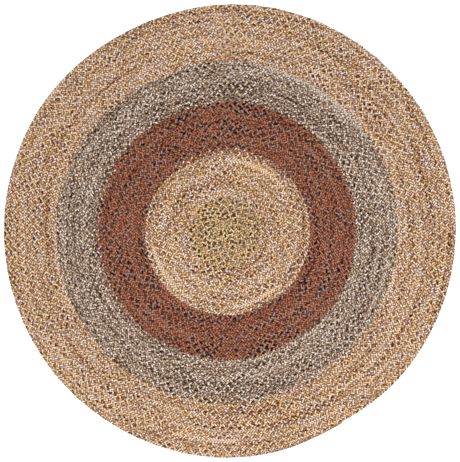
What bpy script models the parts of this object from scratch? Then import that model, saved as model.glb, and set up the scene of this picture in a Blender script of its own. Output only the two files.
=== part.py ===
"""Round braided rug. Five lengths of flat three-strand braid, each in its own colours, are
wound one after another into a single flat coil and laced edge to edge.

Each length is one closed body. Its top follows the rows of braid, with a crest along the
middle of every row and a groove where two rows are laced. Its underside is flat.
Units are metres, +Z is up, and the rug lies on z = 0 with its middle over the origin.
"""

import math
from collections import namedtuple

import bmesh
import bpy
from mathutils import Vector

# The braid
ROW_WIDTH = 0.0203  # one row of braid, from groove to groove
CREST_HEIGHT = 0.0095  # thickness of the braid along the middle of a row
GROOVE_HEIGHT = 0.0060  # height at which two rows are laced
SEAM = 0.0003  # gap between two lengths of braid

# The coil: it winds anticlockwise, seen from above
START_ANGLE = math.radians(120)  # where the coil's inner end points
STEPS_PER_TURN = 60
END_TAPER = 1 / 9  # last part of a turn, over which the braid's outer end narrows
END_WIDTH = 0.25  # width left at the outer end, as a share of a row

# How unevenly the rug lies
DRIFT = 0.025  # how far the coil's middle lies from the middle of the outer rows
DRIFT_ANGLE = math.radians(206)
Pinch = namedtuple("Pinch", "depth angle half_width")
PINCHES = (  # sides on which the rows are drawn in
    Pinch(0.0088, math.radians(116), math.radians(34)),
    Pinch(0.0085, math.radians(300), math.radians(21)),
)
PINCH_FULL_RADIUS = 0.30  # inside this the pinches die away towards the heart

# Each length of braid: where its end is in turns from the middle, and its mean colour
Length = namedtuple("Length", "name ends_at_turn colour roughness")
LENGTHS = (
    Length("heart_braid", 7.6, (0.34, 0.25, 0.13), 0.92),
    Length("inner_braid", 16.9, (0.37, 0.26, 0.17), 0.92),
    Length("rust_braid", 26.2, (0.17, 0.07, 0.045), 0.94),
    Length("grey_braid", 34.5, (0.24, 0.20, 0.15), 0.94),
    Length("border_braid", 45.5, (0.37, 0.26, 0.16), 0.92),
)
OUTER_RADIUS = ROW_WIDTH * LENGTHS[-1].ends_at_turn
LAST_STEP = round(LENGTHS[-1].ends_at_turn * STEPS_PER_TURN)
HALF_TURN = STEPS_PER_TURN // 2


def clear_scene():
    """Starts from an empty file."""
    for thing in list(bpy.data.objects):
        bpy.data.objects.remove(thing, do_unlink=True)


def angle_at(step):
    """Direction of a step along the coil, seen from the coil's middle."""
    return START_ANGLE + math.tau * step / STEPS_PER_TURN


def groove_radius(step):
    """Distance from the coil's middle to the outer edge of the row at this step."""
    full = ROW_WIDTH * step / STEPS_PER_TURN
    into_taper = 1 - (LAST_STEP - step) / (END_TAPER * STEPS_PER_TURN)
    if into_taper <= 0:
        return full
    eased = into_taper * into_taper * (3 - 2 * into_taper)
    return full - ROW_WIDTH * (1 - END_WIDTH) * eased


def crest_radius(step):
    """Distance from the coil's middle to the middle of the row at this step."""
    return (groove_radius(step) + groove_radius(step - STEPS_PER_TURN)) / 2


def pinch(angle, radius):
    """How far the rows are drawn towards the middle in this direction."""
    drawn_in = 0.0
    for side in PINCHES:
        off = math.remainder(angle - side.angle, math.tau) / side.half_width
        if abs(off) < 1:
            drawn_in += side.depth * math.cos(off * math.pi / 2) ** 2
    return drawn_in * min(radius / PINCH_FULL_RADIUS, 1.0)


def lay(step, radius, height, outward=0.0, onward=0.0):
    """Point on the laid rug, moved outward and onward along the row by small clearances."""
    angle = angle_at(step)
    out = Vector((math.cos(angle), math.sin(angle), 0))
    along = Vector((-out.y, out.x, 0))
    drift = DRIFT * (1 - (radius / OUTER_RADIUS) ** 3)
    centre = drift * Vector((math.cos(DRIFT_ANGLE), math.sin(DRIFT_ANGLE), 0))
    level = Vector((0, 0, height))
    reach = radius - pinch(angle, radius) + outward
    return centre + reach * out + onward * along + level


class RidgedLength:
    """The top of one length of braid, wound from its first step to its last."""

    def __init__(self, first, last):
        self.mesh = bmesh.new()
        self.first = first
        self.last = last
        self.grooves = {}
        self.crests = {}

    def clearances(self, step):
        """Outward and onward shifts that keep this length clear of its neighbours."""
        outward = 0.0
        onward = 0.0
        if self.first and step <= self.first:
            outward = SEAM / 2
        if step >= self.last - STEPS_PER_TURN and self.last < LAST_STEP:
            outward = -SEAM / 2
        if self.first and step in (self.first, self.first - STEPS_PER_TURN):
            onward = SEAM / 2
        if self.last < LAST_STEP and step in (self.last, self.last - STEPS_PER_TURN):
            onward = -SEAM / 2
        return outward, onward

    def groove(self, step):
        """Vertex in the groove outside the row at this step; the coil's middle before it."""
        step = max(step, 0)
        if step not in self.grooves:
            outward, onward = self.clearances(step)
            place = lay(step, groove_radius(step), GROOVE_HEIGHT, outward, onward)
            self.grooves[step] = self.mesh.verts.new(place)
        return self.grooves[step]

    def crest(self, step):
        """Vertex on the crest of the row at this step."""
        if step == HALF_TURN:
            return self.groove(0)
        if step not in self.crests:
            at_cap = step in (self.first, self.last)
            onward = self.clearances(step)[1] if at_cap else 0.0
            place = lay(step, crest_radius(step), CREST_HEIGHT, 0.0, onward)
            self.crests[step] = self.mesh.verts.new(place)
        return self.crests[step]

    def face(self, *corners):
        """Face between the corners that differ."""
        kept = list(dict.fromkeys(corners))
        if len(kept) > 2:
            self.mesh.faces.new(kept)

    def wind(self):
        """Lofts the slopes from groove to crest to groove along the whole length."""
        for step in range(self.first, self.last):
            after = step + 1
            if step < HALF_TURN:
                self.face(self.groove(0), self.groove(step), self.groove(after))
                continue
            inner = self.groove(step - STEPS_PER_TURN)
            inner_after = self.groove(after - STEPS_PER_TURN)
            self.face(inner, self.crest(step), self.crest(after), inner_after)
            self.face(self.crest(step), self.groove(step), self.groove(after), self.crest(after))

    def close(self):
        """Drops side walls from the open edges to the surface and fills the underside."""
        rim = [edge for edge in self.mesh.edges if edge.is_boundary]
        dropped = bmesh.ops.extrude_edge_only(self.mesh, edges=rim)["geom"]
        for part in dropped:
            if isinstance(part, bmesh.types.BMVert):
                part.co.z = 0.0
        foot = [edge for edge in self.mesh.edges if edge.is_boundary]
        bmesh.ops.triangle_fill(self.mesh, use_beauty=True, edges=foot)
        bmesh.ops.recalc_face_normals(self.mesh, faces=self.mesh.faces)


def yarn_material(length):
    """Plain yarn in the mean colour of this length."""
    material = bpy.data.materials.new(length.name + "_yarn")
    material.use_nodes = True
    shader = material.node_tree.nodes["Principled BSDF"]
    shader.inputs["Base Color"].default_value = (*length.colour, 1)
    shader.inputs["Roughness"].default_value = length.roughness
    shader.inputs["Metallic"].default_value = 0.0
    material.diffuse_color = (*length.colour, 1)
    return material


def wind_length(length, first, last, collection):
    """One length of braid as a named object."""
    top = RidgedLength(first, last)
    top.wind()
    top.close()
    mesh = bpy.data.meshes.new(length.name)
    top.mesh.to_mesh(mesh)
    top.mesh.free()
    mesh.materials.append(yarn_material(length))
    wound = bpy.data.objects.new(length.name, mesh)
    collection.objects.link(wound)
    return wound


def centre_on_origin(pieces):
    """Moves the meshes so that the middle of the rug's outline is over the origin."""
    points = [vertex.co for piece in pieces for vertex in piece.data.vertices]
    low = Vector((min(p.x for p in points), min(p.y for p in points), 0))
    high = Vector((max(p.x for p in points), max(p.y for p in points), 0))
    middle = (low + high) / 2
    for piece in pieces:
        for vertex in piece.data.vertices:
            vertex.co -= middle


def build_rug():
    """All lengths, wound one after another from the heart to the border."""
    collection = bpy.data.collections.new("braided_rug")
    bpy.context.scene.collection.children.link(collection)
    pieces = []
    first = 0
    for length in LENGTHS:
        last = round(length.ends_at_turn * STEPS_PER_TURN)
        pieces.append(wind_length(length, first, last, collection))
        first = last
    centre_on_origin(pieces)


clear_scene()
build_rug()
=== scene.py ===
"""Looks of the round braided rug: five lengths of three-strand braid in their own yarns,
plaited, wound into one flat coil, and laid on a pale floor under soft light."""

import math
from collections import namedtuple
from itertools import product

import bpy
import numpy as np
from bpy.props import FloatProperty, FloatVectorProperty, IntProperty, PointerProperty
from bpy.types import Operator, Panel, PropertyGroup
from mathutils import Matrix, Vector
from mathutils.bvhtree import BVHTree


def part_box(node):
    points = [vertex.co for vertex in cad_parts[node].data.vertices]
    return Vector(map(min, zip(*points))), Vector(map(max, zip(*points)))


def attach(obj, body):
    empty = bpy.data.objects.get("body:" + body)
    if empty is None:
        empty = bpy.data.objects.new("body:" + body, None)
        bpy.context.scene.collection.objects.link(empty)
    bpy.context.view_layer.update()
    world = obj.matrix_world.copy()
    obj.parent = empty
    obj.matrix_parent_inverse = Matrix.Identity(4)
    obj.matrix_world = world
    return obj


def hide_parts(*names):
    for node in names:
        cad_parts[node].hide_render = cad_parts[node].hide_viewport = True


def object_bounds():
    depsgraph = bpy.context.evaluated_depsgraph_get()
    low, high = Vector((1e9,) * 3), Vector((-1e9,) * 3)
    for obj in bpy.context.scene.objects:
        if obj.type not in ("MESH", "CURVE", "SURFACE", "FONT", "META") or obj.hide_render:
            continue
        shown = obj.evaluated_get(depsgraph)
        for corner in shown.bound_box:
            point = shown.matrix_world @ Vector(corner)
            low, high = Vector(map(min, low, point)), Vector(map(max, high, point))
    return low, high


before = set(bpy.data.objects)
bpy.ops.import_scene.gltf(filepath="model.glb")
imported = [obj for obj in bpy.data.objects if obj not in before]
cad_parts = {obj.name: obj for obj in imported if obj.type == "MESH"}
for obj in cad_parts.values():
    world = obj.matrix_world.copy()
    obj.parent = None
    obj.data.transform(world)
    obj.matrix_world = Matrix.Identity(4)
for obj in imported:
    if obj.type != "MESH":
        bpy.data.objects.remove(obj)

bl_info = {
    "name": "Round Braided Rug",
    "version": (1, 0, 0),
    "blender": (4, 5, 0),
    "location": "3D View > Sidebar > Rug",
    "description": "Plaits the lengths of a round braided rug and lights it from above",
    "category": "Object",
}

CAD_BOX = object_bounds()

# The lengths of braid, from the heart outwards, and where each ends in turns of the coil
Length = namedtuple("Length", "node slot piece ends_at_turn yarns")
LENGTHS = {
    "heart": Length("heart_braid", "heart_yarn", "heart_plait", 7.6, "heart_yarns"),
    "inner": Length("inner_braid", "inner_yarn", "inner_plait", 16.9, "inner_yarns"),
    "rust": Length("rust_braid", "rust_yarn", "rust_plait", 26.2, "rust_yarns"),
    "grey": Length("grey_braid", "grey_yarn", "grey_plait", 34.5, "grey_yarns"),
    "border": Length("border_braid", "border_yarn", "border_plait", 45.5, "border_yarns"),
}
FIRST_TURN = 0.2  # inside this the coil is too tight to hold a strand
LAST_TURN = LENGTHS["border"].ends_at_turn
CHANGES = (-0.12, 0.12, 0.0)  # turns by which each strand changes its yarn early or late
UNCHANGED = (0.0, 0.0, 0.0)  # for the coil's two ends
SAMPLES_PER_TURN = 720  # places at which the coil is worked out
OUTLINE_STEPS = 60  # sides of one turn of the outline

# The plait: steps along one full weave of a strand, and where the strand dives
STRANDS = 3
STEPS = 10
STITCH_STEPS = STEPS // 2
DIVE = math.radians(120)
SECTION = (0, 60, 120, 180, 270)  # corners of a strand's section, in degrees
UPPER_FACETS = 3  # the section's first facets, which make its upper side
NARROWEST = 0.2  # share of a row's width below which its stitches get no shorter
TIP_RINGS = 4  # rings over which a strand's end closes
TIP_START = 0.2  # how far, in rings, it has opened at the very end
WANDER_COUNT = 7  # waves that make the rows wander
WANDER_LENGTHS = (0.05, 0.35)  # metres from crest to crest of the shortest and the longest
PHASE_OF_HEADING = 7  # a wave's phase is its heading times this
TAKE_UP_STEPS = 360  # steps along one weave over which its strand is measured
LONGEST_CUT = 29.0  # metres of strand in one mesh

# The trial plait that tells which facets are hidden
TRIAL_WEAVES = 5
TRIAL_MIDDLE = 2  # whole weaves before the one that is looked at
SIGHT_SLANTS = ((0.64, 0.77), (0.34, 0.94), (0, 1), (0, -1))  # flat and upward parts
SIGHT_SIDES = 12  # lines of sight all round at each slant
FACET_PLACES = (0.2, 0.5, 0.8)  # along and across a facet
SIGHT_START = 0.0001  # metres off the facet

# The yarn map: each stitch wears one cell of it, any column, and a lane of its tone
YARN_MAP = "OFBake"
COLUMNS = 16
TONES = 6  # yarn tones of a length, from the darkest to the palest
TONE_LANES = 2  # lanes from one tone to the next
LANES = TONES * TONE_LANES
CELL_MARGIN = 0.03

# How tones drift along the coil
SIDE_STREAKS = (1, 4, 16)  # how many times finer than the longest each kind of streak is
OWN_STREAK = 3  # stitches from one change of a strand's own tone to the next
OWN_GAIN = 1.22  # makes up for the drift that all the strands share, which is taken off
PALE_STRETCHES = (  # turns of the coil
    (14.77, 14.91),
    (15.19, 15.33),
    (15.43, 15.54),
    (33.76, 33.88),
    (42.37, 42.42),
)
PALE_BY = 5.0  # how much paler they are, in streaks

# How the yarns lie on a strand
YARN_WANDER = 0.8  # yarns by which they wander round it
WANDER_GRAIN = (60, 90)  # clouds over the yarn map, along it and across it
WANDER_DETAIL = 2.0
TWIST_SLANT = 1.3  # twists from one yarn to the next
FLECK_WANDER = 1.6  # flecks by which they wander along it
STITCH_SHIFT = 7  # flecks by which a stitch's flecks may be shifted
YARN_SHIFT = 0.37  # flecks by which a yarn's flecks are shifted from the last yarn's
YARNS_APART = 9  # from the yarns of one column to those of the next
STITCH_DRAW = 3.0  # sets the stitches' draw of chance apart from the flecks'
WARM_DRAW = 0.5  # sets the draw of warm flecks apart from that of pale ones
FIBRE_STRETCH = 2.0  # how fast their grain runs along a stitch and from yarn to yarn
FIBRE_APART = (5.0, 7.0)  # from the fibres of one column and lane to those of the next
FIBRE_GRAIN = 2.5
FIBRE_DETAIL = 3.0

# Painted shade: how a strand's colour is painted darker where it lies in the braid, under and
# between other strands
TOP = 0.25  # how far round from its outer side its top is
EMERGE = 0.33  # how far along a stitch it comes out from under another strand
OUTER_FALL = 0.45  # how far along a stitch its outer side starts to fall away
SINK = 0.95  # how far along a stitch it goes under
EASE = 8.0  # how quickly it comes out and goes under
OUTER_EASE = 6.0  # how quickly its outer side falls away

# Painted light and shade over the yarns, and their relief
YARN_LIGHT = (0.82, 0.24)  # in the groove between two yarns, and how much more on a yarn
TWIST_LIGHT = (0.93, 0.12)  # at the lowest of a twist, and how much more at the highest
YARN_HEIGHT = 0.7  # shares of the bump
TWIST_HEIGHT = 0.18
FIBRE_HEIGHT = 0.3
ROUGHNESS_RANGE = 0.2  # from the smoothest fibres to the roughest

# The stage
FLOOR_GAP = 0.0005  # metres from the rug down to the floor
FLOOR_GRAIN = 0.6
FLOOR_DETAIL = 2.0
FLOOR_SHADE = 0.985  # light of its darker clouds
FLOOR_ROUGHNESS = 0.9
LAMP_PLACE = (0.5, -0.5, 4.0)  # metres from the middle of the rug


# ---------------------------------------------------------------- sizes and colours


def metres(name, description, default):
    """A length that a user may change."""
    return FloatProperty(
        name=name, description=description, default=default, min=0, unit="LENGTH", precision=5
    )


def angle(name, description, degrees):
    """A direction that a user may change."""
    return FloatProperty(
        name=name, description=description, default=math.radians(degrees), subtype="ANGLE"
    )


def share(name, description, default, high=1.0):
    """A plain factor that a user may change."""
    return FloatProperty(
        name=name, description=description, default=default, min=0, max=high, subtype="FACTOR"
    )


def dye(name, description, colour):
    """A yarn colour that a user may change."""
    return FloatVectorProperty(
        name=name, description=description, default=colour, subtype="COLOR", size=3, min=0, max=1
    )


def tint(name, description, factors):
    """Factors of red, green and blue that a user may change."""
    return FloatVectorProperty(
        name=name, description=description, default=factors, size=3, min=0, max=2
    )


def leads(values):
    """Mean tone of each strand, which a user may change."""
    return FloatVectorProperty(
        name="Strand Tones",
        description="Mean tone of each strand, from 0 for the darkest to 5 for the palest",
        default=values,
        size=STRANDS,
        min=0,
        max=TONES - 1,
    )


def own_drift(tones):
    """How far each strand's tone drifts, which a user may change."""
    return share("Strand Drift", "How many tones a strand drifts by along itself", tones, 6.0)


class CoilSizes(PropertyGroup):
    """How the braid is wound and how unevenly the rug lies; the solids are wound the same."""

    row_width: metres("Row Width", "One row of braid, from groove to groove", 0.0203)
    start: angle("Start", "Direction of the coil's inner end", 120)
    end_taper: share("End Taper", "Last part of a turn, where the outer end narrows", 1 / 9)
    end_width: share("End Width", "Width left at the outer end, as a share of a row", 0.25)
    drift: metres("Drift", "How far the coil's middle lies off the outer rows' middle", 0.025)
    drift_angle: angle("Drift Direction", "Which way the coil's middle lies", 206)
    pinch_1: metres("First Pinch", "How far the rows are drawn in on one side", 0.0088)
    pinch_1_angle: angle("First Pinch Direction", "Side on which they are drawn in", 116)
    pinch_1_spread: angle("First Pinch Spread", "Half the spread of the first pinch", 34)
    pinch_2: metres("Second Pinch", "How far the rows are drawn in on the other side", 0.0085)
    pinch_2_angle: angle("Second Pinch Direction", "Side on which they are drawn in", 300)
    pinch_2_spread: angle("Second Pinch Spread", "Half the spread of the second pinch", 21)
    pinch_radius: metres("Pinch Radius", "Inside this the pinches die away", 0.30)


class PlaitSizes(PropertyGroup):
    """One strand and how three of them are plaited."""

    weave_length: metres("Weave Length", "Along the braid, one full weave of a strand", 0.0355)
    strand_width: metres("Strand Width", "Across one strand, pressed flat", 0.0084)
    strand_height: metres("Strand Height", "Middle to top of a strand", 0.0036)
    strand_depth: metres("Strand Depth", "Middle to underside of a strand", 0.0017)
    rise: metres("Rise", "How far a strand climbs over its neighbours", 0.0023)
    crest: angle("Crest", "How far before the middle of its crossing a strand is highest", 12)
    straightness: share("Straightness", "How straight a strand crosses the row", 0.75)
    overlap: metres("Overlap", "How far laced rows press into each other", 0.0021)
    unevenness: share("Unevenness", "How much the strands vary in width", 0.10)
    hand: share("Hand", "How much the stitches vary in length", 0.04)
    wander: metres("Wander", "How far rows wander off their line", 0.0006)
    streak: metres("Streak Length", "Along the braid, from one streak of tone to the next", 0.5)
    seed: IntProperty(name="Seed", description="Varies the hand's unevenness", default=7)


class HeartYarns(PropertyGroup):
    """Yarns of the heart: slate, brown and gold."""

    tone_0: dye("Slate", "Darkest stitches", (0.020, 0.014, 0.008))
    tone_1: dye("Dark Brown", "Dark stitches", (0.046, 0.025, 0.036))
    tone_2: dye("Brown", "Middling dark stitches", (0.219, 0.121, 0.067))
    tone_3: dye("Old Gold", "Middling pale stitches", (0.399, 0.280, 0.164))
    tone_4: dye("Gold", "Pale stitches", (0.453, 0.294, 0.123))
    tone_5: dye("Pale Gold", "Palest stitches", (0.537, 0.387, 0.197))
    warm: tint("Warm Tint", "Tint of the warmest flecks", (1.10, 0.97, 0.60))
    cool: tint("Cool Tint", "Tint of the coolest flecks", (0.90, 1.03, 1.42))
    strands: leads((3.6, 3.2, 1.8))
    spread: own_drift(1.1)


class InnerYarns(PropertyGroup):
    """Yarns of the inner field: brown, gold and cream."""

    tone_0: dye("Dark Brown", "Darkest stitches", (0.029, 0.005, 0.002))
    tone_1: dye("Brown", "Dark stitches", (0.086, 0.026, 0.009))
    tone_2: dye("Tan", "Middling dark stitches", (0.254, 0.124, 0.070))
    tone_3: dye("Gold", "Middling pale stitches", (0.472, 0.297, 0.141))
    tone_4: dye("Cream", "Pale stitches", (0.558, 0.489, 0.441))
    tone_5: dye("Lilac White", "Palest stitches", (0.549, 0.354, 0.193))
    warm: tint("Warm Tint", "Tint of the warmest flecks", (1.07, 0.96, 0.62))
    cool: tint("Cool Tint", "Tint of the coolest flecks", (0.93, 1.04, 1.40))
    strands: leads((3.3, 2.6, 2.0))
    spread: own_drift(0.55)


class RustYarns(PropertyGroup):
    """Yarns of the rust band: near black, rust red and mauve grey."""

    tone_0: dye("Near Black", "Darkest stitches", (0.003, 0.002, 0.002))
    tone_1: dye("Wine", "Dark stitches", (0.021, 0.012, 0.009))
    tone_2: dye("Rust", "Middling dark stitches", (0.120, 0.047, 0.025))
    tone_3: dye("Rust Red", "Middling pale stitches", (0.279, 0.094, 0.051))
    tone_4: dye("Brick", "Pale stitches", (0.269, 0.128, 0.087))
    tone_5: dye("Mauve Grey", "Palest stitches", (0.210, 0.159, 0.134))
    warm: tint("Warm Tint", "Tint of the warmest flecks", (1.25, 0.85, 0.60))
    cool: tint("Cool Tint", "Tint of the coolest flecks", (0.76, 1.14, 1.44))
    strands: leads((2.9, 2.6, 2.1))
    spread: own_drift(1.0)


class GreyYarns(PropertyGroup):
    """Yarns of the grey band: charcoal brown, taupe and cream."""

    tone_0: dye("Charcoal Brown", "Darkest stitches", (0.008, 0.003, 0.002))
    tone_1: dye("Dark Taupe", "Dark stitches", (0.037, 0.016, 0.007))
    tone_2: dye("Taupe", "Middling dark stitches", (0.154, 0.093, 0.058))
    tone_3: dye("Greige", "Middling pale stitches", (0.383, 0.281, 0.210))
    tone_4: dye("Stone", "Pale stitches", (0.595, 0.507, 0.445))
    tone_5: dye("Cream", "Palest stitches", (0.355, 0.281, 0.230))
    warm: tint("Warm Tint", "Tint of the warmest flecks", (1.02, 0.95, 0.80))
    cool: tint("Cool Tint", "Tint of the coolest flecks", (0.98, 1.05, 1.20))
    strands: leads((2.9, 2.4, 1.9))
    spread: own_drift(0.5)


class BorderYarns(PropertyGroup):
    """Yarns of the border: brown, gold and lilac white."""

    tone_0: dye("Dark Brown", "Darkest stitches", (0.028, 0.005, 0.002))
    tone_1: dye("Brown", "Dark stitches", (0.084, 0.025, 0.008))
    tone_2: dye("Tan", "Middling dark stitches", (0.257, 0.126, 0.067))
    tone_3: dye("Gold", "Middling pale stitches", (0.493, 0.316, 0.154))
    tone_4: dye("Cream", "Pale stitches", (0.546, 0.471, 0.444))
    tone_5: dye("Lilac White", "Palest stitches", (0.576, 0.401, 0.235))
    warm: tint("Warm Tint", "Tint of the warmest flecks", (1.07, 0.96, 0.62))
    cool: tint("Cool Tint", "Tint of the coolest flecks", (0.93, 1.04, 1.40))
    strands: leads((3.3, 2.6, 2.1))
    spread: own_drift(0.6)


class YarnFinish(PropertyGroup):
    """How a strand is spun from its yarns, how the tones mingle, and how much shade is painted on
    it.
    """

    plies: IntProperty(name="Plies", description="Yarns laid round a strand", default=6, min=1)
    lay: share("Lay", "How far a yarn turns round the strand along one stitch", 0.9, 4.0)
    twist: share("Twist", "Twists of each yarn along one stitch", 11.0, 40.0)
    flecks: IntProperty(name="Flecks", description="Flecks along a yarn in one stitch", default=3)
    fleck_tone: share("Fleck Tone", "How many tones the flecks differ by", 1.6, 9.0)
    fibre_tone: share("Fibre Tone", "How many tones the fibres of a fleck differ by", 1.5, 9.0)
    streaks: share("Streaks", "How many tones each side of a row drifts by", 0.23, 6.0)
    # Depth is painted shade: how much darker a strand's colour is painted where it lies between
    # others in the braid
    depth: share("Depth", "How much darker a strand is where it lies in the braid", 0.60)
    warmth: share("Warmth", "How much flecks differ between warm and cool", 1.05, 4.0)
    bump: metres("Bump", "Height of the yarns on a strand", 0.0008)
    roughness: share("Roughness", "Roughness of the wool", 0.93)
    gloss: share("Gloss", "Faint shine of the wool", 0.05)


class StageSizes(PropertyGroup):
    """Floor, light and camera."""

    floor_width: metres("Floor Width", "Side of the square floor", 14.0)
    floor_colour: dye("Floor Colour", "Colour of the floor", (0.78, 0.78, 0.78))
    even_light: share("Even Light", "Strength of the light from all round", 0.72, 4.0)
    lamp_power: FloatProperty(
        name="Lamp Power", description="Power of the soft lamp", default=340, min=0, unit="POWER"
    )
    lamp_width: metres("Lamp Width", "Side of the soft lamp", 2.6)
    lens: FloatProperty(
        name="Lens", description="Focal length in millimetres", default=85, min=1
    )
    view_width: metres("View Width", "What the picture spans from left to right", 1.859)


# ---------------------------------------------------------------- the coil


def eased(x):
    """Goes from 0 to 1 with a soft start and end."""
    return x * x * (3 - 2 * x)


def groove_radius(coil, turn):
    """Distance from the coil's middle to the outer edge of the row, at a turn of the coil."""
    into_taper = np.clip(1 - (LAST_TURN - turn) / coil.end_taper, 0, 1)
    narrowed = coil.row_width * (1 - coil.end_width) * eased(into_taper)
    return np.maximum(coil.row_width * turn - narrowed, 0)


def lay(coil, turn, radius):
    """Points on the laid rug, as rows of x and y, before the outline is centred."""
    direction = coil.start + math.tau * turn
    drawn_in = 0
    for depth, side, spread in (
        (coil.pinch_1, coil.pinch_1_angle, coil.pinch_1_spread),
        (coil.pinch_2, coil.pinch_2_angle, coil.pinch_2_spread),
    ):
        off = np.remainder(direction - side + math.pi, math.tau) - math.pi
        drawn_in = drawn_in + depth * np.cos(np.clip(off / spread, -1, 1) * math.pi / 2) ** 2
    reach = radius - drawn_in * np.minimum(radius / coil.pinch_radius, 1)
    drift = coil.drift * (1 - (radius / (coil.row_width * LAST_TURN)) ** 3)
    x = drift * math.cos(coil.drift_angle) + reach * np.cos(direction)
    y = drift * math.sin(coil.drift_angle) + reach * np.sin(direction)
    return np.stack([x, y], -1)


def outline_middle(coil):
    """Middle of the outline before it is centred on the border's solid."""
    turn = LAST_TURN - np.arange(OUTLINE_STEPS + 1) / OUTLINE_STEPS
    edge = lay(coil, turn, groove_radius(coil, turn))
    low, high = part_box(LENGTHS["border"].node)
    solid = (np.array(low[:2]) + np.array(high[:2])) / 2
    return (edge.min(0) + edge.max(0)) / 2 - solid


# ---------------------------------------------------------------- the plait


def waves(rng, count, low, high):
    """Directions and phases of a few waves, with lengths between low and high."""
    pace = math.tau / rng.uniform(low, high, count)
    heading = rng.uniform(0, math.tau, count)
    phase = heading * PHASE_OF_HEADING
    return np.stack([pace * np.cos(heading), pace * np.sin(heading), phase], -1)


def running_sum(steps):
    """The sum before each step, and after the last."""
    return np.concatenate([[0], np.cumsum(steps)])


def smooth_field(parts, points):
    """Sum of waves at these points, about -1 to 1."""
    total = sum(np.sin(points[..., 0] * a + points[..., 1] * b + c) for a, b, c in parts)
    return total / math.sqrt(len(parts))


def climb(plait, phase):
    """Height of a strand above the braid's mid level."""
    return plait.rise * np.sin(2 * (phase + plait.crest))


def sway(plait, phase):
    """How far a strand lies from the row's middle, -1 to 1. It crosses nearly straight."""
    return np.arcsin(plait.straightness * -np.cos(phase)) / math.asin(plait.straightness)


def strand_rings(plait, centre, width, height):
    """Corners of a strand's section at each of its centre points."""
    ahead = np.gradient(centre, axis=0)
    side = np.cross(ahead, (0, 0, 1))
    side /= np.linalg.norm(side, axis=1, keepdims=True)
    up = np.cross(side, ahead)
    up /= np.linalg.norm(up, axis=1, keepdims=True)
    corners = np.radians(SECTION)
    reach = np.where(np.sin(corners) > 0, plait.strand_height, plait.strand_depth)
    outward = np.outer(width, np.cos(corners) * plait.strand_width / 2)
    upward = np.outer(height, np.sin(corners) * reach)
    return centre[:, None] + side[:, None] * outward[..., None] + up[:, None] * upward[..., None]


def hidden_facets(plait, across):
    """Which facets of a strand can't be seen, for each step of a weave. They lie inside the
    plait, so they are left out. A short straight plait is enough to tell."""
    own = DIVE + math.tau * (np.arange(TRIAL_WEAVES * STEPS + 1) / STEPS - TRIAL_MIDDLE)
    points, faces = [], []
    for strand in range(STRANDS):
        along = plait.weave_length * (own / math.tau - strand / STRANDS)
        centre = np.stack([across * sway(plait, own), along, climb(plait, own)], -1)
        ones = np.ones(len(own))
        rings = strand_rings(plait, centre, ones, ones).reshape(-1, 3)
        ring, facet = np.divmod(np.arange((len(own) - 1) * len(SECTION)), len(SECTION))
        faces.append(facet_corners(ring, facet) + sum(map(len, points)))
        points.append(rings)
    tree = BVHTree.FromPolygons(
        np.concatenate(points).tolist(), np.concatenate(faces).tolist(), all_triangles=False
    )
    sights = [
        Vector((math.cos(turn) * flat, math.sin(turn) * flat, height))
        for flat, height in SIGHT_SLANTS
        for turn in np.arange(0, math.tau, math.tau / SIGHT_SIDES)
    ]
    weave = STEPS * len(SECTION)
    middle = slice(TRIAL_MIDDLE * weave, (TRIAL_MIDDLE + 1) * weave)
    seen = [facet_shows(points[0][corners], tree, sights) for corners in faces[0][middle]]
    return ~np.array(seen).reshape(STEPS, len(SECTION))


def facet_corners(ring, facet):
    """Numbers of the four corners of facets, each between a ring and the next."""
    sides = len(SECTION)
    base, onward = ring * sides, (facet + 1) % sides
    return np.stack([base + facet, base + sides + facet, base + sides + onward, base + onward], -1)


def facet_shows(corners, tree, sights):
    """Whether any of a few places on this facet is open to one of the lines of sight."""
    first, second, third, fourth = (Vector(corner) for corner in corners)
    normal = (third - first).cross(fourth - second).normalized()
    facing = [sight for sight in sights if normal.dot(sight) > 0]
    for u, v in product(FACET_PLACES, FACET_PLACES):
        place = first.lerp(second, u).lerp(fourth.lerp(third, u), v) + normal * SIGHT_START
        if any(tree.ray_cast(place, sight)[0] is None for sight in facing):
            return True
    return False


def take_up(plait, across):
    """Metres of strand in one metre of braid."""
    phase = np.linspace(0, math.tau, TAKE_UP_STEPS, endpoint=False)
    pace = math.tau / plait.weave_length
    sideways = across * np.gradient(sway(plait, phase), phase[1]) * pace
    upward = np.gradient(climb(plait, phase), phase[1]) * pace
    return float(np.mean(np.sqrt(1 + sideways**2 + upward**2)))


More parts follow.
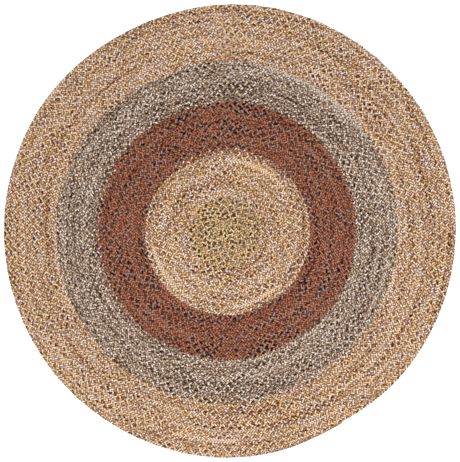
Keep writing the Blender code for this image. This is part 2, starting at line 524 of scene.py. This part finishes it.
class Plait:
    """Every strand of the coil, worked out once and then cut into its lengths."""

    def __init__(self, coil, sizes):
        self.coil = coil
        self.sizes = sizes
        self.rng = np.random.default_rng(sizes.seed)
        self.middle = outline_middle(coil)
        self.across = (coil.row_width - sizes.strand_width) / 2 + sizes.overlap
        self.hidden = hidden_facets(sizes, self.across)
        self.take_up = take_up(sizes, self.across)
        self.wind()
        self.wander_waves = waves(self.rng, WANDER_COUNT, *WANDER_LENGTHS)
        self.draw_tones()
        self.strands = [self.strand(number) for number in range(STRANDS)]

    def wind(self):
        """Turn, width, length and phase of the braid at each sample along the coil."""
        first, last = (round(turn * SAMPLES_PER_TURN) for turn in (FIRST_TURN, LAST_TURN))
        self.turn = np.arange(first, last + 1) / SAMPLES_PER_TURN
        outer = groove_radius(self.coil, self.turn)
        inner = groove_radius(self.coil, self.turn - 1)
        self.fill = (outer - inner) / self.coil.row_width
        line = lay(self.coil, self.turn, (outer + inner) / 2)
        hop = np.linalg.norm(np.diff(line, axis=0), axis=1)
        self.run = running_sum(hop)
        pace = math.tau / (self.sizes.weave_length * np.maximum(self.fill, NARROWEST))
        pace = pace * self.drift(self.sizes.weave_length, 1, self.sizes.hand)
        self.phase = running_sum(hop * (pace[1:] + pace[:-1]) / 2)

    def draw_tones(self):
        """Draws how the tone drifts on each side of a row, and along each strand."""
        self.sides = [
            sum(self.drift(self.sizes.streak / finer) for finer in SIDE_STREAKS)
            for side in ("left", "right")
        ]
        for begin, end in PALE_STRETCHES:
            for side in self.sides:
                side[(self.turn > begin) & (self.turn < end)] = PALE_BY
        length = OWN_STREAK * self.sizes.weave_length / 2
        own = [self.drift(length) for number in range(STRANDS)]
        self.own = OWN_GAIN * (np.array(own) - np.mean(own, axis=0))

    def drift(self, length, mean=0, spread=1):
        """A number that drifts at random along the coil, from one knot to the next."""
        knots = self.rng.normal(mean, spread, int(self.run[-1] / length) + 2)
        return np.interp(self.run / length, np.arange(len(knots)), knots)

    def strand(self, number):
        """Rings of one strand along the whole coil: their turns, corners and steps."""
        sizes = self.sizes
        shift = math.tau * number / STRANDS
        pitch = math.tau / STEPS
        first = math.ceil((self.phase[0] + shift - DIVE) / pitch)
        last = math.floor((self.phase[-1] + shift - DIVE) / pitch)
        step = np.arange(first, last + 1)
        own = DIVE + pitch * step
        turn = np.interp(own - shift, self.phase, self.turn)
        fill = np.interp(turn, self.turn, self.fill)
        inner = groove_radius(self.coil, turn - 1)
        row_middle = (groove_radius(self.coil, turn) + inner) / 2
        flat = lay(self.coil, turn, row_middle + self.across * fill * sway(sizes, own))
        flat = flat - self.middle
        flat = flat + sizes.wander * smooth_field(self.wander_waves, flat)[:, None]
        climbed = sizes.rise + sizes.strand_depth + climb(sizes, own)
        from_end = np.minimum(np.arange(len(step)), np.arange(len(step))[::-1])
        opened = np.clip((from_end + TIP_START) / TIP_RINGS, 0, 1)
        lift = climbed * (1 + np.sqrt(fill)) / 2
        centre = np.concatenate([flat, lift[:, None]], 1)
        stitch = step // STITCH_STEPS
        grown = 1 + sizes.unevenness * self.rng.uniform(-1, 1, stitch.max() - stitch.min() + 2)
        along = (step - stitch * STITCH_STEPS) / STITCH_STEPS
        start = stitch - stitch.min()
        vary = grown[start] * (1 - along) + grown[start + 1] * along
        rings = strand_rings(sizes, centre, fill * vary * opened, opened * np.sqrt(fill))
        return turn, rings, step

    def part(self, number, first, last, tones):
        """Corners, faces and yarn map of one strand between two turns of the coil. The tones
        are the strand's mean tone, its own drift and the drift of each side of a row."""
        turn, rings, step = self.strands[number]
        begin = int(np.searchsorted(turn, first))
        end = min(int(np.searchsorted(turn, last)), len(turn) - 1)
        rings = rings[begin : end + 1]
        step = step[begin : end + 1]
        shown = ~self.hidden[step[:-1] % STEPS]
        ring, facet = np.nonzero(shown)
        faces = facet_corners(ring, facet)
        stitch = step[ring] // STITCH_STEPS
        along = (step[ring] - stitch * STITCH_STEPS) / STITCH_STEPS
        stitches, begins = np.unique(step // STITCH_STEPS, return_index=True)
        column, lane = self.cells(number, stitches, turn[begin + begins], *tones)
        column, lane = column[stitch - stitch.min()], lane[stitch - stitch.min()]
        around = self.around()
        onward = along + 1 / STITCH_STEPS
        u = np.stack([along, onward, onward, along], -1)
        v = np.stack([around[facet], around[facet], around[facet + 1], around[facet + 1]], -1)
        # Every other stitch is turned over in its cell, so that the side of a strand which
        # faces out of the braid is at the foot of the cell on both edges of the braid
        turned = around[UPPER_FACETS] + np.where(facet < UPPER_FACETS, 0, 1)
        v = np.where((stitch % 2 == 1)[:, None], turned[:, None] - v, v)
        u = (column[:, None] + CELL_MARGIN + (1 - 2 * CELL_MARGIN) * u) / COLUMNS
        v = (lane[:, None] + CELL_MARGIN + (1 - 2 * CELL_MARGIN) * v) / LANES
        return rings.reshape(-1, 3), faces, np.stack([u, v], -1)

    def cells(self, number, stitches, turn, lead, spread, streaks):
        """Column and lane of the yarn map for each stitch, from the turn it begins at."""
        left, right = (np.interp(turn, self.turn, side) for side in self.sides)
        shared = np.where(stitches % 2, left, right)
        own = np.interp(turn, self.turn, self.own[number])
        tone = lead + streaks * shared + spread * own
        lane = np.clip(np.round(tone * TONE_LANES), 0, LANES - 1)
        return self.rng.integers(0, COLUMNS, len(turn)), lane

    def around(self):
        """How far round the section each corner lies, from 0 to 1."""
        corners = np.radians(SECTION + (360,))
        reach = np.where(np.sin(corners) > 0, self.sizes.strand_height, self.sizes.strand_depth)
        place = np.stack(
            [self.sizes.strand_width / 2 * np.cos(corners), reach * np.sin(corners)], -1
        )
        hop = np.linalg.norm(np.diff(place, axis=0), axis=1)
        return running_sum(hop) / hop.sum()

    def braid_length(self, first, last):
        """Metres of braid between two turns."""
        return float(np.interp(last, self.turn, self.run) - np.interp(first, self.turn, self.run))

    def cuts(self, first, last):
        """Turns at which a length of braid begins, is cut into even pieces, and ends."""
        length = self.braid_length(first, last)
        count = math.ceil(length * self.take_up / LONGEST_CUT)
        begin = np.interp(first, self.turn, self.run)
        return [
            float(np.interp(begin + length * n / count, self.run, self.turn))
            for n in range(count + 1)
        ]


PLAITS = {}  # those worked out so far, by their sizes


def whole_plait(scene):
    """The plait of the whole coil, worked out again only when its sizes change."""
    sizes = [scene.rug_coil, scene.rug_plait]
    key = tuple(
        getattr(group, name) for group in sizes for name in sorted(group.__annotations__)
    )
    if key not in PLAITS:
        PLAITS[key] = Plait(*sizes)
    return PLAITS[key]


def mesh_of(name, points, faces, places):
    """A smooth mesh of four-sided faces with a yarn map."""
    used, faces = np.unique(faces, return_inverse=True)
    points = points[used]
    faces = faces.reshape(-1, 4)
    mesh = bpy.data.meshes.new(name)
    mesh.vertices.add(len(points))
    mesh.vertices.foreach_set("co", points.astype(np.float32).ravel())
    mesh.loops.add(faces.size)
    mesh.loops.foreach_set("vertex_index", faces.astype(np.int32).ravel())
    mesh.polygons.add(len(faces))
    mesh.polygons.foreach_set("loop_start", np.arange(0, faces.size, 4, dtype=np.int32))
    mesh.update(calc_edges=True)
    layer = mesh.uv_layers.new(name=YARN_MAP)
    layer.uv.foreach_set("vector", places.astype(np.float32).ravel())
    mesh.shade_smooth()
    return mesh


def plaited_mesh(name, plait, strands):
    """One mesh of the strands, each given as its number, start, stop and tones."""
    points, faces, places = [], [], []
    total = 0
    for strand in strands:
        part = plait.part(*strand)
        points.append(part[0])
        faces.append(part[1] + total)
        places.append(part[2])
        total += len(part[0])
    return mesh_of(name, *(np.concatenate(each) for each in (points, faces, places)))


def plait_length(context, key):
    """Makes the pieces of one length of braid, in its yarns, in place of its solid."""
    scene = context.scene
    length = LENGTHS[key]
    names = list(LENGTHS)
    place = names.index(key)
    first = LENGTHS[names[place - 1]].ends_at_turn if place else 0.0
    last = length.ends_at_turn
    early = CHANGES if place else UNCHANGED
    late = CHANGES if last < LAST_TURN else UNCHANGED
    plait = whole_plait(scene)
    yarns = getattr(scene, "rug_" + length.yarns)
    tones = [(lead, yarns.spread, scene.rug_finish.streaks) for lead in yarns.strands]
    material = yarn_material(length, yarns, scene.rug_finish)
    cuts = plait.cuts(first, last)
    count = len(cuts) - 1
    for number in range(count):
        starts = [cuts[number] + (turn if number == 0 else 0) for turn in early]
        stops = [cuts[number + 1] + (turn if number == count - 1 else 0) for turn in late]
        name = length.piece + (f"_{number + 1}" if count > 1 else "")
        mesh = plaited_mesh(name, plait, zip(range(STRANDS), starts, stops, tones))
        mesh.materials.append(material)
        piece = bpy.data.objects.new(name, mesh)
        context.collection.objects.link(piece)
        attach(piece, "root")
        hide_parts(length.node)
        cut_length = plait.take_up * plait.braid_length(cuts[number], cuts[number + 1])


# ---------------------------------------------------------------- finishes


class Value:
    """A number that varies over a surface. Sums and products of it add Math nodes."""

    def __init__(self, finish, socket):
        self.finish = finish
        self.socket = socket

    def math(self, operation, *others):
        """The result of a Math node on this value."""
        values = dict(enumerate((self, *others)))
        return self.finish.node("ShaderNodeMath", {"operation": operation}, values)

    def __add__(self, other):
        return self.math("ADD", other)

    __radd__ = __add__

    def __sub__(self, other):
        return self.math("SUBTRACT", other)

    def __rsub__(self, other):
        return (self * -1) + other

    def __mul__(self, other):
        return self.math("MULTIPLY", other)

    __rmul__ = __mul__

    def output(self, number):
        """Another output of the same node."""
        return Value(self.finish, self.socket.node.outputs[number])

    def floor(self):
        """The whole number below."""
        return self.math("FLOOR")

    def fraction(self):
        """What is left above the whole number."""
        return self.math("FRACT")

    def wave(self):
        """Sine, with this value counted in whole waves."""
        return (self * math.tau).math("SINE")

    def ridge(self):
        """0 at whole numbers, rising to a rounded 1 between them."""
        return (self * math.pi).math("SINE").math("ABSOLUTE")

    def held(self):
        """This value kept between 0 and 1."""
        return self.math("MINIMUM", 1.0).math("MAXIMUM", 0.0)


class Finish:
    """A material in the making."""

    def __init__(self, name):
        self.material = bpy.data.materials.new(name)
        self.material.use_nodes = True
        self.nodes = self.material.node_tree.nodes
        self.links = self.material.node_tree.links
        self.shader = self.nodes["Principled BSDF"]

    def fill(self, node, values):
        """Sets sockets to plain values, or links them to the values that vary."""
        for name, value in values.items():
            if isinstance(value, Value):
                self.links.new(value.socket, node.inputs[name])
            else:
                node.inputs[name].default_value = value

    def node(self, kind, settings, values, output=0):
        """A node of this type, with its settings first, and one of its outputs."""
        made = self.nodes.new(kind)
        for name, value in settings.items():
            if name == "stops":
                set_stops(made.color_ramp.elements, value)
            else:
                setattr(made, name, value)
        self.fill(made, values)
        return Value(self, made.outputs[output])

    def mix(self, share_of_second, first, second):
        """A colour between two colours."""
        return self.node(
            "ShaderNodeMix", {"data_type": "RGBA"}, {0: share_of_second, 6: first, 7: second}, 2
        )

    def tinted(self, colour, tone):
        """A colour made darker or lighter."""
        return self.node("ShaderNodeVectorMath", {"operation": "SCALE"}, {0: colour, 3: tone})

    def point(self, x, y, z):
        """A vector from three numbers."""
        return self.node("ShaderNodeCombineXYZ", {}, {0: x, 1: y, 2: z})

    def chance(self, point):
        """A number from 0 to 1 drawn for each place, apart from all the others."""
        return self.node("ShaderNodeTexWhiteNoise", {"noise_dimensions": "3D"}, {0: point})

    def cloud(self, point, scale, detail):
        """Soft noise from 0 to 1."""
        values = {"Vector": point, "Scale": scale, "Detail": detail}
        return self.node("ShaderNodeTexNoise", {"noise_dimensions": "3D"}, values)


def set_stops(row, stops):
    """Gives a ramp its colours, each with its place from 0 to 1, in rising order."""
    for place, colour in stops[1:-1]:
        row.new(place).color = colour
    for element, (place, colour) in zip((row[0], row[-1]), (stops[0], stops[-1])):
        element.position = place
        element.color = colour


def opaque(colour):
    """A colour with full alpha."""
    return (*colour, 1.0)


def yarn_material(length, yarns, spinning):
    """Spun wool in the tones of one length, read from the yarn map, with shade painted into its
    colour.
    """
    finish = Finish(length.slot)
    places = finish.node("ShaderNodeUVMap", {"uv_map": YARN_MAP}, {})
    map_x = finish.node("ShaderNodeSeparateXYZ", {}, {0: places})
    map_y = map_x.output(1)
    column, along = (map_x * COLUMNS).floor(), (map_x * COLUMNS).fraction()
    lane, around = (map_y * LANES).floor(), (map_y * LANES).fraction()

    # Which yarn of the strand lies here, and which fleck of the yarn
    stitch_chance = finish.chance(finish.point(column, lane, STITCH_DRAW))
    cloud = finish.point(map_x * WANDER_GRAIN[0], map_y * WANDER_GRAIN[1], 0.0)
    wander = finish.cloud(cloud, 1.0, WANDER_DETAIL) - 0.5
    ply = around * spinning.plies + along * spinning.lay + stitch_chance + wander * YARN_WANDER
    offset = stitch_chance * STITCH_SHIFT + ply.floor() * YARN_SHIFT + wander * FLECK_WANDER
    fleck = (along * spinning.flecks + offset).floor()
    yarn = ply.floor() + column * YARNS_APART
    fibre_x = along * FIBRE_STRETCH + column * FIBRE_APART[0]
    grain = finish.point(fibre_x, ply * FIBRE_STRETCH, lane * FIBRE_APART[1])
    fibres = finish.cloud(grain, FIBRE_GRAIN, FIBRE_DETAIL)
    twist = (along * spinning.twist + ply * TWIST_SLANT).wave() * 0.5 + 0.5

    # The lane's tone, made darker on every other fleck and paler on the rest
    darker_or_paler = (fleck * 0.5).fraction() * 4 - 1
    contrast = (finish.chance(finish.point(yarn, fleck, lane)) + 0.5) * darker_or_paler
    tone = lane * (1 / TONE_LANES) + 0.5 + contrast * (spinning.fleck_tone / 2)
    tone = tone + (fibres - 0.5) * spinning.fibre_tone
    stops = [((n + 0.5) / TONES, opaque(getattr(yarns, f"tone_{n}"))) for n in range(TONES)]
    colour = finish.node("ShaderNodeValToRGB", {"stops": stops}, {0: tone * (1 / TONES)})
    warm_chance = finish.chance(finish.point(fleck, yarn, lane + WARM_DRAW))
    tint = (0.5 + (warm_chance - 0.5) * spinning.warmth).held()
    tint = finish.mix(tint, opaque(yarns.warm), opaque(yarns.cool))
    colour = finish.node("ShaderNodeVectorMath", {"operation": "MULTIPLY"}, {0: colour, 1: tint})

    # Painted shade: darker where the strand lies between others, in the grooves between its yarns
    # and at the low of each twist
    inner_side = ((around - TOP) * (1 / TOP)).held()
    outer_side = ((TOP - around) * (1 / TOP)).held()
    outer_side = outer_side * ((along - OUTER_FALL) * OUTER_EASE).held()
    on_top = 1 - inner_side - outer_side
    shown = ((along - EMERGE) * EASE).held() * ((SINK - along) * EASE).held()
    light = 1 - (1 - on_top * shown) * spinning.depth
    light = light * (YARN_LIGHT[0] + ply.ridge() * YARN_LIGHT[1])
    light = light * (TWIST_LIGHT[0] + twist * TWIST_LIGHT[1])
    height = ply.ridge() * YARN_HEIGHT + twist * TWIST_HEIGHT + fibres * FIBRE_HEIGHT
    bump = finish.node(
        "ShaderNodeBump", {}, {"Height": height, "Distance": spinning.bump, "Strength": 1.0}
    )
    finish.fill(
        finish.shader,
        {
            "Base Color": finish.tinted(colour, light),
            "Roughness": (spinning.roughness - ROUGHNESS_RANGE / 2) + fibres * ROUGHNESS_RANGE,
            "Normal": bump,
            "Specular IOR Level": spinning.gloss,
        },
    )
    return finish.material


def floor_material(stage):
    """Pale matt floor, with a faint cloudiness."""
    finish = Finish("floor")
    places = finish.node("ShaderNodeTexCoord", {}, {}, "Object")
    cloud = finish.cloud(places, FLOOR_GRAIN, FLOOR_DETAIL)
    pale = opaque(stage.floor_colour)
    shaded = opaque([part * FLOOR_SHADE for part in stage.floor_colour])
    colour = finish.mix(cloud, pale, shaded)
    finish.fill(finish.shader, {"Base Color": colour, "Roughness": FLOOR_ROUGHNESS})
    return finish.material


# ---------------------------------------------------------------- operators


class RUG_OT_heart(Operator):
    """Plait the heart of the rug, gold with slate and brown flecks"""

    bl_idname = "rug.heart"
    bl_label = "Plait Heart"
    bl_options = {"REGISTER", "UNDO"}

    def execute(self, context):
        plait_length(context, "heart")
        return {"FINISHED"}


class RUG_OT_inner(Operator):
    """Plait the tan field round the heart"""

    bl_idname = "rug.inner"
    bl_label = "Plait Inner Field"
    bl_options = {"REGISTER", "UNDO"}

    def execute(self, context):
        plait_length(context, "inner")
        return {"FINISHED"}


class RUG_OT_rust(Operator):
    """Plait the rust red band"""

    bl_idname = "rug.rust"
    bl_label = "Plait Rust Band"
    bl_options = {"REGISTER", "UNDO"}

    def execute(self, context):
        plait_length(context, "rust")
        return {"FINISHED"}


class RUG_OT_grey(Operator):
    """Plait the grey band"""

    bl_idname = "rug.grey"
    bl_label = "Plait Grey Band"
    bl_options = {"REGISTER", "UNDO"}

    def execute(self, context):
        plait_length(context, "grey")
        return {"FINISHED"}


class RUG_OT_border(Operator):
    """Plait the tan border"""

    bl_idname = "rug.border"
    bl_label = "Plait Border"
    bl_options = {"REGISTER", "UNDO"}

    def execute(self, context):
        plait_length(context, "border")
        return {"FINISHED"}


class RUG_OT_stage(Operator):
    """Lay the pale floor, hang the soft light and set the camera straight above"""

    bl_idname = "rug.stage"
    bl_label = "Set Stage"
    bl_options = {"REGISTER", "UNDO"}

    def execute(self, context):
        stage = context.scene.rug_stage
        lay_floor(context, stage)
        hang_light(context, stage)
        set_camera(context, stage)
        return {"FINISHED"}


def lay_floor(context, stage):
    """A wide square just under the rug."""
    half = stage.floor_width / 2
    mesh = bpy.data.meshes.new("floor")
    corners = [(-half, -half, 0), (half, -half, 0), (half, half, 0), (-half, half, 0)]
    mesh.from_pydata(corners, [], [(0, 1, 2, 3)])
    mesh.materials.append(floor_material(stage))
    floor = bpy.data.objects.new("floor", mesh)
    floor.location.z = CAD_BOX[0][2] - FLOOR_GAP
    context.collection.objects.link(floor)


def hang_light(context, stage):
    """Even light from all round, and one wide lamp above to one side."""
    world = bpy.data.worlds.new("studio")
    world.use_nodes = True
    light = world.node_tree.nodes["Background"]
    light.inputs["Color"].default_value = (1, 1, 1, 1)
    light.inputs["Strength"].default_value = stage.even_light
    context.scene.world = world
    lamp = bpy.data.lights.new("soft_lamp", "AREA")
    lamp.size = stage.lamp_width
    lamp.energy = stage.lamp_power
    hung = bpy.data.objects.new("soft_lamp", lamp)
    hung.location = LAMP_PLACE
    hung.rotation_euler = (-hung.location).to_track_quat("-Z", "Y").to_euler()
    context.collection.objects.link(hung)


def set_camera(context, stage):
    """Looks straight down on the whole rug."""
    camera = bpy.data.cameras.new("camera")
    camera.lens = stage.lens
    camera.sensor_fit = "HORIZONTAL"
    height = stage.view_width * stage.lens / camera.sensor_width
    held = bpy.data.objects.new("camera", camera)
    held.location = Vector((0, 0, height))
    context.collection.objects.link(held)
    context.scene.camera = held
    context.scene.view_settings.view_transform = "Standard"


# ---------------------------------------------------------------- panel and registration


class RUG_PT_panel(Panel):
    """Lists the rug's sizes and colours, and the steps that make it"""

    bl_idname = "RUG_PT_panel"
    bl_label = "Braided Rug"
    bl_space_type = "VIEW_3D"
    bl_region_type = "UI"
    bl_category = "Rug"

    def draw(self, context):
        for name, label, group in SETTINGS:
            box = self.layout.box()
            box.label(text=label)
            for prop in group.__annotations__:
                box.prop(getattr(context.scene, name), prop)
        for operator in OPERATORS:
            self.layout.operator(operator.bl_idname)


SETTINGS = (
    ("rug_coil", "Coil", CoilSizes),
    ("rug_plait", "Plait", PlaitSizes),
    ("rug_heart_yarns", "Heart Yarns", HeartYarns),
    ("rug_inner_yarns", "Inner Yarns", InnerYarns),
    ("rug_rust_yarns", "Rust Yarns", RustYarns),
    ("rug_grey_yarns", "Grey Yarns", GreyYarns),
    ("rug_border_yarns", "Border Yarns", BorderYarns),
    ("rug_finish", "Spinning", YarnFinish),
    ("rug_stage", "Stage", StageSizes),
)
OPERATORS = (RUG_OT_heart, RUG_OT_inner, RUG_OT_rust, RUG_OT_grey, RUG_OT_border, RUG_OT_stage)
CLASSES = (*(group for name, label, group in SETTINGS), *OPERATORS, RUG_PT_panel)


def register():
    """Adds the classes and the settings of the scene."""
    for each in CLASSES:
        bpy.utils.register_class(each)
    for name, label, group in SETTINGS:
        setattr(bpy.types.Scene, name, PointerProperty(type=group))


def unregister():
    """Takes the settings and the classes away."""
    for name, label, group in SETTINGS:
        delattr(bpy.types.Scene, name)
    for each in reversed(CLASSES):
        bpy.utils.unregister_class(each)


def main():
    """Makes the rug and its stage."""
    register()
    bpy.ops.rug.heart()
    bpy.ops.rug.inner()
    bpy.ops.rug.rust()
    bpy.ops.rug.grey()
    bpy.ops.rug.border()
    bpy.ops.rug.stage()


if __name__ == "__main__":
    main()
